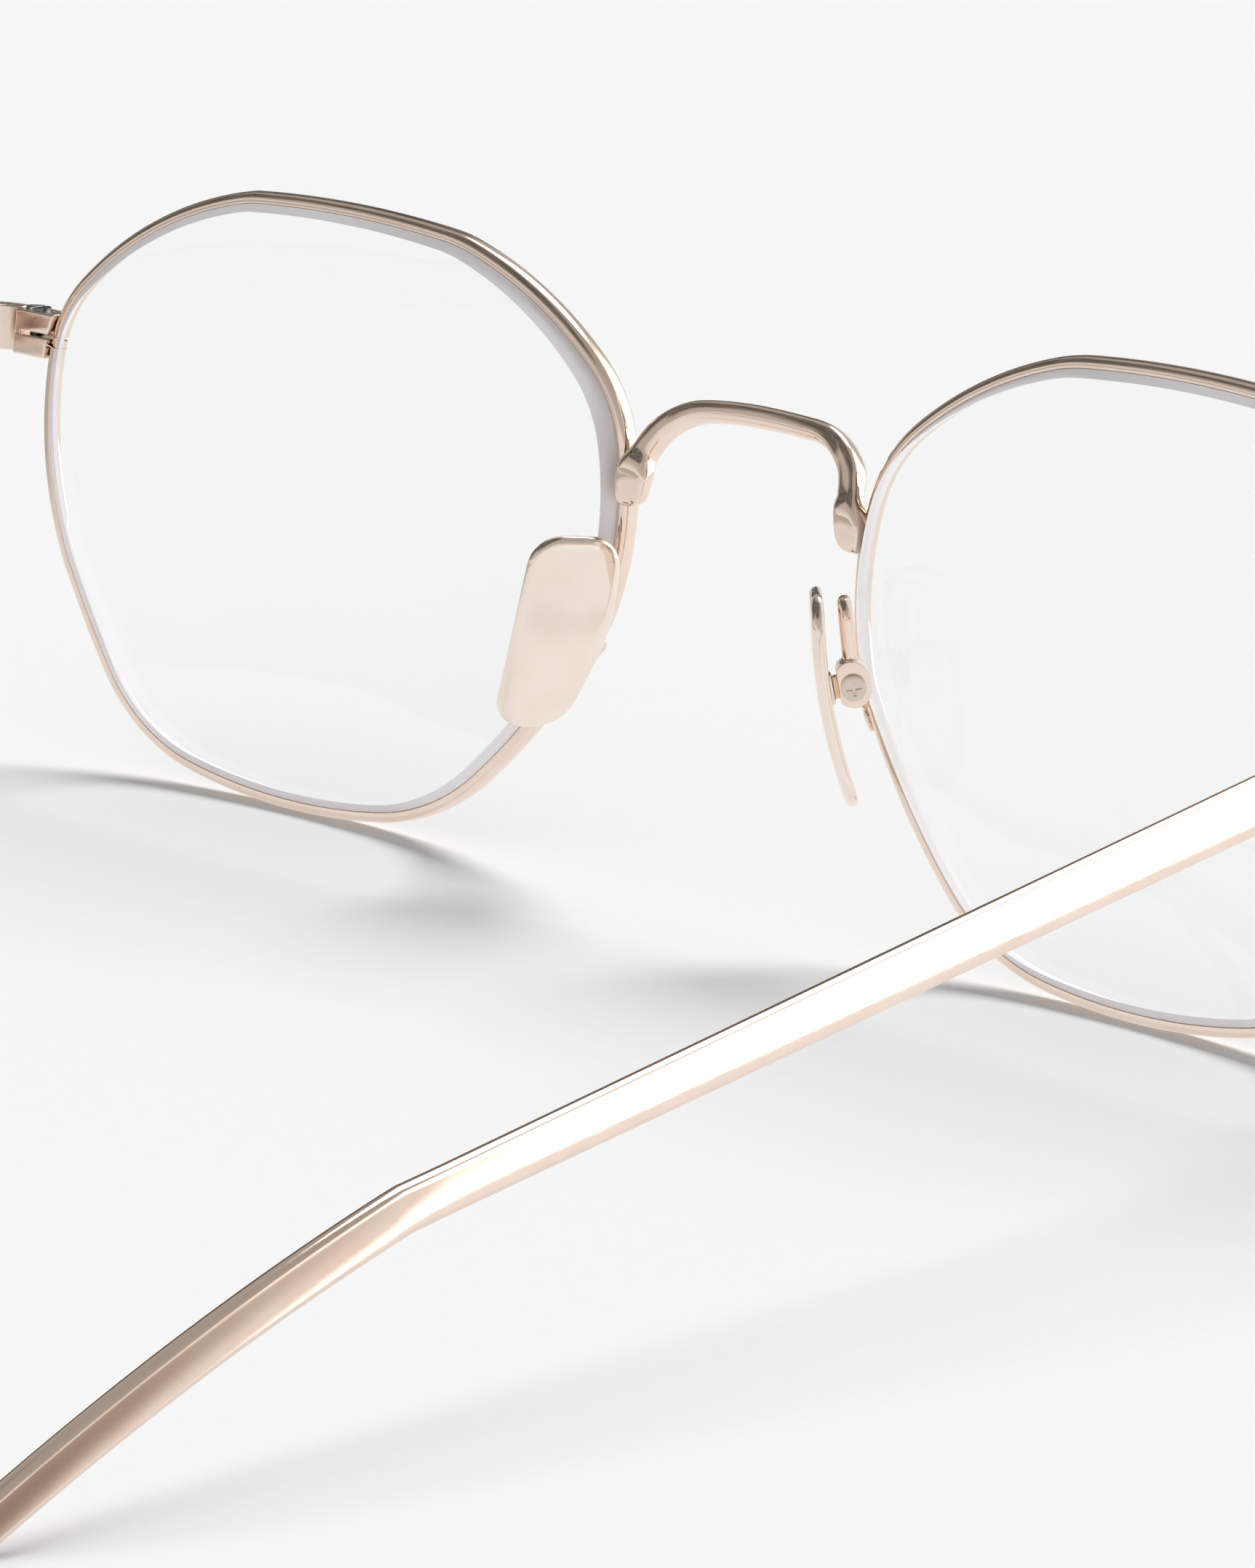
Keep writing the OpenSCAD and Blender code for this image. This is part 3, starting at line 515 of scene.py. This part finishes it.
# The rim's wire: crowned outside, round shoulders, and the lens groove inside
def wire_ring():
    half = WIRE_D / 2
    points = [(0.0, 0.0), (WIRE_IN, GROOVE_W / 2), (WIRE_IN, half - WIRE_LIP)]
    for i in range(1, LIP_STEPS + 1):
        a = math.pi / 2 * i / LIP_STEPS
        points.append((WIRE_IN + WIRE_LIP * (1 - math.cos(a)), half - WIRE_LIP * (1 - math.sin(a))))
    for i in range(SHOULDER_STEPS + 1):
        a = math.pi / 2 * (1 - i / SHOULDER_STEPS)
        points.append((WIRE_OUT - CROWN_RISE - SHOULDER[0] * (1 - math.cos(a)),
                       half - SHOULDER[1] * (1 - math.sin(a))))
    points.append((WIRE_OUT, CROWN_HALF))
    lower = [(x, -y) for x, y in reversed(points[1:])]
    return points + lower


def cut_at_hinge(points):
    """The outline from the slit's upper side round to its lower side."""
    low, high = HINGE_RISE - SLIT / 2, HINGE_RISE + SLIT / 2
    # Only points beyond this lie on the temple side
    outer = LENS_W / 3
    above = [i for i, (p, _) in enumerate(points) if p.x > outer and p.y > high]
    first = min(above, key=lambda i: points[i][0].y)
    turned = points[first:] + points[:first]
    kept = [q for q in turned if not (q[0].x > outer and low <= q[0].y <= high)]

    def level(a, b, y):
        t = (y - a[0].y) / (b[0].y - a[0].y)
        return a[0].lerp(b[0], t), a[1].lerp(b[1], t).normalized()

    before = level(kept[-1], kept[0], low)
    after = level(kept[-1], kept[0], high)
    return [after] + kept + [before]


def rim(side, tag):
    section = wire_ring()
    rings = []
    for p, n in cut_at_hinge(outline(LENS_ARCS, RIM_SPACING)):
        spots = [(p + n * off, front) for off, front in section]
        rings.append([from_eye(q.x, q.y, front) for q, front in spots])
    points, faces = loft(rings)
    piece("rim_wire_" + tag, "rim_" + tag, points, faces, [GOLD], side)


# The lens: two curved faces, the flat ground edge and the bevel that stands in the groove
def lens_face(p, offset):
    """How far a lens face stands in front of the rim's plane at a point."""
    bulge = (LENS_W ** 2 + LENS_H ** 2) / 16 / LENS_R
    return bulge + offset - LENS_R + math.sqrt(LENS_R ** 2 - p.length_squared)


def rear_face(p, share):
    """The rear face, deeper than the front one: the lens is thicker at its edge, most of all at the nose."""
    nose_share = min(1, max(0, 0.5 - p.x / LENS_W))
    depth = EDGE_BACK * (EDGE_EVEN + (1 - EDGE_EVEN) * nose_share)
    return lens_face(p, -LENS_T / 2) - depth * share ** EDGE_POWER


def lens(side, tag):
    body = WIRE_IN - SEAT
    edge = outline(LENS_ARCS, LENS_SPACING)
    half = LENS_T / 2
    bevel = GROOVE_W / 2 - BEVEL_AIR
    rings = []
    for share in LENS_SHARES:
        ring = [(q + n * body) * share for q, n in edge]
        rings.append([from_eye(p.x, p.y, lens_face(p, half)) for p in ring])
    for off, level in ((body, bevel), (BEVEL_TIP, 0.0), (body, -bevel), (body, -WIRE_D / 2)):
        rings.append([from_eye(*(q + n * off), level) for q, n in edge])
    for share in reversed(LENS_SHARES):
        ring = [(q + n * (body - EDGE_SLOPE)) * share for q, n in edge]
        rings.append([from_eye(p.x, p.y, rear_face(p, share)) for p in ring])
    middle = Vector((0, 0))
    points, faces = pillow(from_eye(0, 0, lens_face(middle, half)), rings,
                           from_eye(0, 0, lens_face(middle, -half)))
    # The bands between the outermost rings of the two faces are the ground edge
    face_count = len(LENS_SHARES) * len(edge)
    picks = [0] * face_count + [1] * EDGE_BANDS * len(edge) + [0] * face_count
    piece("lens_pane_" + tag, "lens_" + tag, points, faces, [GLASS, EDGE], side, picks=picks,
          smooth=30)


# The temple: a strip with round edges that narrows to its bend and curves along its tip
def temple_line():
    """The middle line and the round end: distance behind the hinge, height, slope and strip height."""
    bend_y, bend_z = BEND_LENGTH * math.cos(TEMPLE_SLOPE), HINGE_Z - BEND_LENGTH * math.sin(TEMPLE_SLOPE)
    chord = math.asin((bend_z - TIP_H / 2) / TIP_LENGTH)
    first = chord - TIP_CURL / 2
    r = TIP_LENGTH / 2 / math.sin(TIP_CURL / 2)
    line = []
    for i in range(STRIP_STEPS):
        t = i / STRIP_STEPS
        y = -KNUCKLE_R + (bend_y + KNUCKLE_R) * t
        z = HINGE_Z - y * math.tan(TEMPLE_SLOPE)
        line.append((y, z, TEMPLE_SLOPE, TEMPLE_H + (BEND_H - TEMPLE_H) * t))
    for i in range(TIP_STEPS + 1):
        t = i / TIP_STEPS
        a = first + TIP_CURL * t
        y = bend_y + r * (math.sin(a) - math.sin(first))
        z = bend_z + r * (math.cos(a) - math.cos(first))
        slope = a if i else (TEMPLE_SLOPE + a) / 2
        line.append((y, z, slope, BEND_H + (TIP_H - BEND_H) * t))
    # The round end runs half a strip height beyond the middle line
    y, z, slope, h = line[-1]
    end = []
    for degrees in END_TURNS:
        a = math.radians(degrees)
        reach = math.sin(a) * h / 2
        end.append((y + reach * math.cos(slope), z - reach * math.sin(slope), slope, h * math.cos(a)))
    return line, end


def temple(side, tag):
    rings = []
    mid = STRIP_IN + TEMPLE_T / 2
    line, end = temple_line()
    bend_y, tip_y = line[STRIP_STEPS][0], line[-1][0]
    for i, (y, z, slope, h) in enumerate(line + end):
        half_t = TEMPLE_T / 2
        if i >= len(line):
            half_t *= min(1.0, END_THIN + (1 - END_THIN) * h / TIP_H)
        r = min(TEMPLE_EDGE_R, half_t * EDGE_SHARE_T, h * EDGE_SHARE_H)
        past_bend = (y - bend_y) / (tip_y - bend_y)
        cant = TEMPLE_CANT if past_bend < 0 else BEND_CANT + (TIP_CANT - BEND_CANT) * min(1, past_bend)
        begun = min(1, max(0, (y - CANT_FROM) / CANT_OVER))
        ring = []
        for a, b in rounded_box(half_t, h / 2, r):
            # The outer face is crowned from edge to edge, and the strip leans in at its top
            if a > 0:
                a -= TEMPLE_CROWN * (b / (h / 2)) ** 2
            a -= b * math.tan(cant) * begun
            ring.append(from_temple(mid + a, y + b * math.sin(slope), z + b * math.cos(slope)))
        rings.append(ring)
    points, faces = loft(rings)
    piece("temple_strip_" + tag, "temple_" + tag, points, faces, [BRUSHED], side, body="temple_" + tag)


# The nose pad: a crowned plate with round edges
def pad_place(p, level):
    """A point of the plate. Its middle surface is part of a ball, and the two faces follow it."""
    rise = PAD_CROWN - math.sqrt(PAD_CROWN ** 2 - p.length_squared)
    return from_pad(p.x + PAD_SHIFT, p.y + PAD_MID, -PAD_REACH - PAD_T / 2 + rise - level * PAD_T / 2)


def nose_pad(side, tag):
    edge = outline(PAD_ARCS, PAD_SPACING)
    shares = (*PAD_SHARES, 1)
    upper = [[((q + n * PAD_FLAT) * share, 1.0) for q, n in edge] for share in shares]
    upper += [[(q + n * off, level) for q, n in edge] for off, level in PAD_EDGE]
    lower = [[(p, -level) for p, level in ring] for ring in reversed(upper[:-1])]
    rings = [[pad_place(p, level) for p, level in ring] for ring in upper + lower]
    middle = Vector((0, 0))
    points, faces = pillow(pad_place(middle, 1.0), rings, pad_place(middle, -1.0), flipped=True)
    piece("pad_plate_" + tag, "nose_pad_" + tag, points, faces, [PAD_METAL], side, body="pad_" + tag,
          smooth=60)


# The pad arm: a round wire from the rim's rear up, over its loop and down into the box
def tube(line, radius):
    """A round wire along a line. The radius is a function of the share of the way."""
    rings = []
    across = None
    for i, p in enumerate(line):
        ahead = (line[min(i + 1, len(line) - 1)] - line[max(i - 1, 0)]).normalized()
        if across is None:
            across = ahead.orthogonal().normalized()
        across = (across - ahead * across.dot(ahead)).normalized()
        other = ahead.cross(across)
        r = radius(i / (len(line) - 1))
        turns = [math.tau * k / TUBE_SIDES for k in range(TUBE_SIDES)]
        rings.append([p + (across * math.cos(a) + other * math.sin(a)) * r for a in turns])
    return loft(rings)


def pad_arm(side, tag):
    centre, nose_r, start, sweep = LENS_ARCS[2 * NOSE_SIDE + 1]
    off = WIRE_OUT + ARM_R + SEAT - ARM_TUCK

    def foot(share):
        a = start + share * sweep
        p = centre + Vector((math.cos(a), math.sin(a))) * (nose_r + off)
        return from_eye(p.x, p.y, -ARM_BACK)

    def loop(x, y):
        return from_pad(x, y * math.cos(ARM_LEAN), y * math.sin(ARM_LEAN))

    def radius(t):
        return ARM_R * min(1, ARM_THIN + (1 - ARM_THIN) * t / ARM_THIN_OVER)

    out = -2 * ARM_LOOP_R
    stops = [foot(share) for share in ARM_FOOT]
    stops += [loop(out, y) for y in (ARM_LOW, *ARM_UP)]
    for degrees in range(180, -1, -30):
        a = math.radians(degrees)
        stops.append(loop(-ARM_LOOP_R + ARM_LOOP_R * math.cos(a), ARM_LOOP_H + ARM_LOOP_R * math.sin(a)))
    stops += [loop(0, y) for y in ARM_DOWN]
    points, faces = tube(smooth_line(stops, ARM_STEPS), radius)
    piece("arm_wire_" + tag, "pad_arm_" + tag, points, faces, [GOLD], side)


# The bridge: one oval bar, bent down at both ends into a flat foot on the rim's rear face
def bridge_half(side, bend, leg):
    """Rings from the bar's middle to the foot's end, on one side."""
    bend_x, bend_r, droop = bend
    lean_c, lean_s = math.cos(BRIDGE_LEAN), math.sin(BRIDGE_LEAN)

    def in_plane(x, w):
        bowed = PLAN_BOW * (min(x, PLAN_BOW_OVER) / PLAN_BOW_OVER) ** 2 - PLAN_BOW * PLAN_BOW_AHEAD
        return Vector((side * x, -BRIDGE_FORWARD - w * lean_s + bowed, EYE_Z + BRIDGE_RISE + w * lean_c))

    def outward(a):
        return Vector((side * math.sin(a), -math.cos(a) * lean_s, math.cos(a) * lean_c))

    rear = Vector((0, lean_c, lean_s))
    bow = math.asin(bend_x / (BOW_R - bend_r))
    bend_drop = BOW_R - (BOW_R - bend_r) * math.cos(bow)
    rings = []
    for i in range(BAR_STEPS):
        a = bow * i / BAR_STEPS
        fall = droop * (i / BAR_STEPS) ** 2 * 0.5
        at = in_plane(BOW_R * math.sin(a), BOW_R * (math.cos(a) - 1) - fall)
        rings.append(oval(at, outward(a), rear, BAR_H / 2, BAR_D / 2, BAR_POWER))
    for degrees in BEND_TURNS:
        a = math.radians(degrees)
        fall = droop * (0.5 + 0.5 * min(1, degrees / DROOP_BY))
        share = degrees / BEND_TURNS[-1]
        at = in_plane(bend_x + bend_r * math.sin(a), bend_r * math.cos(a) - bend_drop - fall)
        half_h, half_d = BAR_H / 2 + BEND_GROW_H * share, BAR_D / 2 + BEND_GROW_D * share
        rings.append(oval(at, outward(a), rear, half_h, half_d, BAR_POWER + BEND_GROW_POWER * share))
    for z, inner, outer, front, back, power in leg:
        lean = LEG_LEAN * max(0, min(1, (z - LEG_UPRIGHT_AT) / LEG_LEAN_OVER))
        across = Vector((side, 0, lean)).normalized()
        rear = Vector((0, 1, lean)).normalized()
        at = Vector((side * (inner + outer) / 2, (front + back) / 2, z))
        rings.append(oval(at, across, rear, (outer - inner) / 2, (back - front) / 2, power))
    return rings


def bridge():
    left = bridge_half(1, BEND_LEFT, LEG_LEFT)
    right = bridge_half(-1, BEND_RIGHT, LEG_RIGHT)
    chain = list(reversed(right[1:])) + left
    columns = [smooth_line(column, BAR_STEPS) for column in zip(*chain)]
    points, faces = loft(list(zip(*columns)))
    piece("bridge_bar", "bridge", points, faces, [GOLD], smooth=70)


# Nodes that keep their solid's shape: material, width of the softened edge, and steps across it
SOFTENED = [
    ("closing_block_upper_", SATIN, 0.2, 4),
    ("closing_block_lower_", SATIN, 0.2, 4),
    ("end_piece_", SATIN, 0.16, 3),
    ("front_knuckles_", SATIN, 0.1, 3),
    ("temple_knuckle_", SATIN, 0.1, 3),
    ("pad_box_", GOLD, 0.42, 6),
    ("pad_lug_", GOLD, 0.06, 3),
    ("closing_screw_", STEEL, 0.05, 2),
    ("hinge_screw_", SCREW, 0.05, 2),
    ("pad_screw_", SCREW, 0.05, 2),
]


WELD_WITHIN, EDGE_ANGLE = 0.002, math.radians(35)


def soften(node, mat, width, segments):
    """Rounds the edges of a node that comes from the solids."""
    obj = frame["nodes"][node]
    obj.data.materials.clear()
    obj.data.materials.append(mat)
    weld = obj.modifiers.new("weld", "WELD")
    weld.merge_threshold = WELD_WITHIN * MM
    bevel = obj.modifiers.new("soft_edge", "BEVEL")
    bevel.width = width * MM
    bevel.segments = segments
    bevel.limit_method = "ANGLE"
    bevel.angle_limit = EDGE_ANGLE
    normals = obj.modifiers.new("normals", "WEIGHTED_NORMAL")
    normals.keep_sharp = False


for side, tag in ((1, "left"), (-1, "right")):
    rim(side, tag)
    lens(side, tag)
    temple(side, tag)
    nose_pad(side, tag)
    pad_arm(side, tag)
    for stem, mat, width, segments in SOFTENED:
        soften(stem + tag, mat, width, segments)
bridge()


# The floor, the light and the camera
def floor():
    """Plain pale paper. Mirrors see a painted glow on it, brighter toward the front, and a painted shade at
    the far left.
    """
    made, tree, shader = material("floor_paper")
    tone = tones(tree, spread(tree, noise(tree, FIBRE_SCALE)), *FLOOR_TONES)
    feed(tree, shader, {"Base Color": tone, "Roughness": 0.9, "Specular IOR Level": 0.1})
    # Painted reflection: mirror rays see an emitted glow here, brighter toward the front and darkened by a
    # painted shade at the far left
    place = place_of(tree)
    x = add(tree, "SeparateXYZ", {"Vector": place}).outputs["X"]
    painted_glow_mask = ranged(tree, along(tree, place, PAINTED_GLOW_SIDE), PAINTED_GLOW_RANGE, PAINTED_GLOW_LEVELS)
    level = maths(tree, "MULTIPLY", painted_glow_mask, ranged(tree, x, PAINTED_SHADE_RANGE, PAINTED_SHADE_LEVELS))
    painted_reflection = add(tree, "Emission", {"Color": (1, 1, 1, 1), "Strength": level}).outputs["Emission"]
    path = add(tree, "LightPath").outputs
    # Mirror rays see this painted glow in place of most of the paper
    mirrored = maths(tree, "MULTIPLY", path["Is Glossy Ray"], PAINTED_GLOW_SHARE)
    # A ray that a lens let through sees the paper itself
    mirrored = maths(tree, "SUBTRACT", mirrored, path["Is Transmission Ray"], use_clamp=True)
    surface = blend(tree, mirrored, shader.outputs["BSDF"], painted_reflection)
    feed(tree, tree.nodes["Material Output"], {"Surface": surface})
    mesh = bpy.data.meshes.new("floor")
    s = FLOOR_HALF
    mesh.from_pydata([(-s, -s, 0), (s, -s, 0), (s, s, 0), (-s, s, 0)], [], [(0, 1, 2, 3)])
    mesh.materials.append(made)
    obj = bpy.data.objects.new("floor", mesh)
    bpy.context.collection.objects.link(obj)


def studio(tree):
    """The surroundings that the metal mirrors: a graded room with bright, dim and dark patches."""
    where = place_of(tree, "Generated")
    z = add(tree, "SeparateXYZ", {"Vector": where}).outputs["Z"]
    ramp = add(tree, "ValToRGB", {"Fac": ranged(tree, z, (-1, 1), (0, 1))})
    stops = ramp.color_ramp.elements
    stops[0].color = (*STUDIO_STOPS[0][1], 1)
    stops[1].color = (*STUDIO_STOPS[-1][1], 1)
    for height, tone in STUDIO_STOPS[1:-1]:
        stops.new(height).color = (*tone, 1)

    def patch(direction, start, full):
        """A soft round patch, 1 in its middle."""
        cosine = along(tree, where, Vector(direction).normalized())
        return ranged(tree, cosine, (start, full), (0, 1), interpolation_type="SMOOTHSTEP")

    room = ramp.outputs["Color"]
    for direction, start, full, tone in STUDIO_PATCHES:
        room = tones(tree, patch(direction, start, full), room, tone)
    dark = patch(*DARK_PATCHES[0])
    for each in DARK_PATCHES[1:]:
        dark = maths(tree, "MAXIMUM", dark, patch(*each))
    cloud = add(tree, "TexNoise", {"Vector": where, "Scale": SMOKE_SCALE, "Detail": SMOKE_DETAIL,
                                   "Distortion": SMOKE_TWIST}).outputs["Fac"]
    return tones(tree, dark, room, tones(tree, spread(tree, cloud), SMOKE_DARK, SMOKE_PALE))


def world():
    made = bpy.data.worlds.new("studio")
    made.use_nodes = True
    bpy.context.scene.world = made
    tree = made.node_tree
    tree.nodes.clear()
    path = add(tree, "LightPath").outputs
    # The lenses let shadow rays through, so a floor ray that passes one must not count the light again
    light = ranged(tree, path["Is Transmission Ray"], (0, 1), (SKY_LIGHT, 0))
    sky = add(tree, "Background", {"Color": SKY_COLOUR, "Strength": light}).outputs["Background"]
    mirror = add(tree, "Background", {"Color": studio(tree), "Strength": 1.0}).outputs["Background"]
    seen = add(tree, "Background", {"Color": SEEN_COLOUR, "Strength": 1.0}).outputs["Background"]
    # The floor's own rays are left to the plain sky
    direct = maths(tree, "LESS_THAN", path["Diffuse Depth"], 0.5)
    glossy = maths(tree, "MULTIPLY", path["Is Glossy Ray"], direct)
    through = maths(tree, "MULTIPLY", path["Is Transmission Ray"], direct)
    visible = maths(tree, "MAXIMUM", path["Is Camera Ray"], through)
    surface = blend(tree, visible, blend(tree, glossy, sky, mirror), seen)
    add(tree, "OutputWorld", {"Surface": surface})


def key_light():
    """A broad far lamp, so that the floor is lit evenly."""
    data = bpy.data.lights.new("key_light", "SUN")
    data.angle = KEY_ANGLE
    data.energy = KEY_LIGHT
    obj = bpy.data.objects.new("key_light", data)
    bpy.context.collection.objects.link(obj)
    # Mirrors show the studio's own bright patch instead, and the lenses pass the lamp's light only once
    obj.visible_glossy = False
    obj.visible_transmission = False
    obj.location = KEY_FROM
    obj.rotation_euler = (-Vector(KEY_FROM)).to_track_quat("-Z", "Y").to_euler()


def camera():
    data = bpy.data.cameras.new("photo_camera")
    data.sensor_width = SENSOR_MM
    data.sensor_fit = "AUTO"
    data.lens = FOCAL_PX / max(PHOTO_SIZE) * SENSOR_MM
    data.clip_start, data.clip_end = CAMERA_CLIP_M
    obj = bpy.data.objects.new("photo_camera", data)
    bpy.context.collection.objects.link(obj)
    turn = Matrix((CAMERA_RIGHT, CAMERA_UP, CAMERA_BACK)).transposed()
    obj.matrix_world = Matrix.Translation(Vector(CAMERA_AT) * MM) @ turn.to_4x4()
    bpy.context.scene.camera = obj


floor()
world()
key_light()
camera()

scene = bpy.context.scene
scene.view_settings.view_transform = "Standard"
